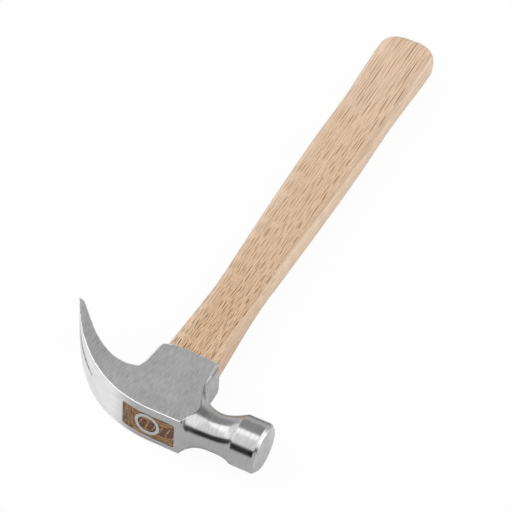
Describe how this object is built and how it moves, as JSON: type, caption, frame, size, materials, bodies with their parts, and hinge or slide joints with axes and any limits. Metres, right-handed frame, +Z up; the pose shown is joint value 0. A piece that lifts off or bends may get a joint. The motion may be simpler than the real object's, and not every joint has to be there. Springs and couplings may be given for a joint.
{
  "type": "curved claw hammer",
  "caption": "Light curved claw hammer: polished steel head with a round poll and a split claw, on a beech handle held in the eye by a wooden wedge and a steel ring wedge.",
  "frame": {"origin": "on the bench, below the middle of the hammer's box, with the hammer lying on one side", "axes": "+X from the claw to the striking face, +Y from the head to the butt of the handle, +Z up, from one cheek to the other"},
  "size_m": [0.0996, 0.2635, 0.0217],
  "materials": {
    "head_steel": "brushed cheeks and claw, polished neck and poll",
    "beech": "sanded and lightly lacquered",
    "wedge_wood": "sawn end grain",
    "ring_steel": "ground flush with the crown"
  },
  "bodies": {
    "root": {"hammer_head": "head_steel", "handle": "beech", "wood_wedge": "wedge_wood", "ring_wedge": "ring_steel"}
  },
  "joints": []
}
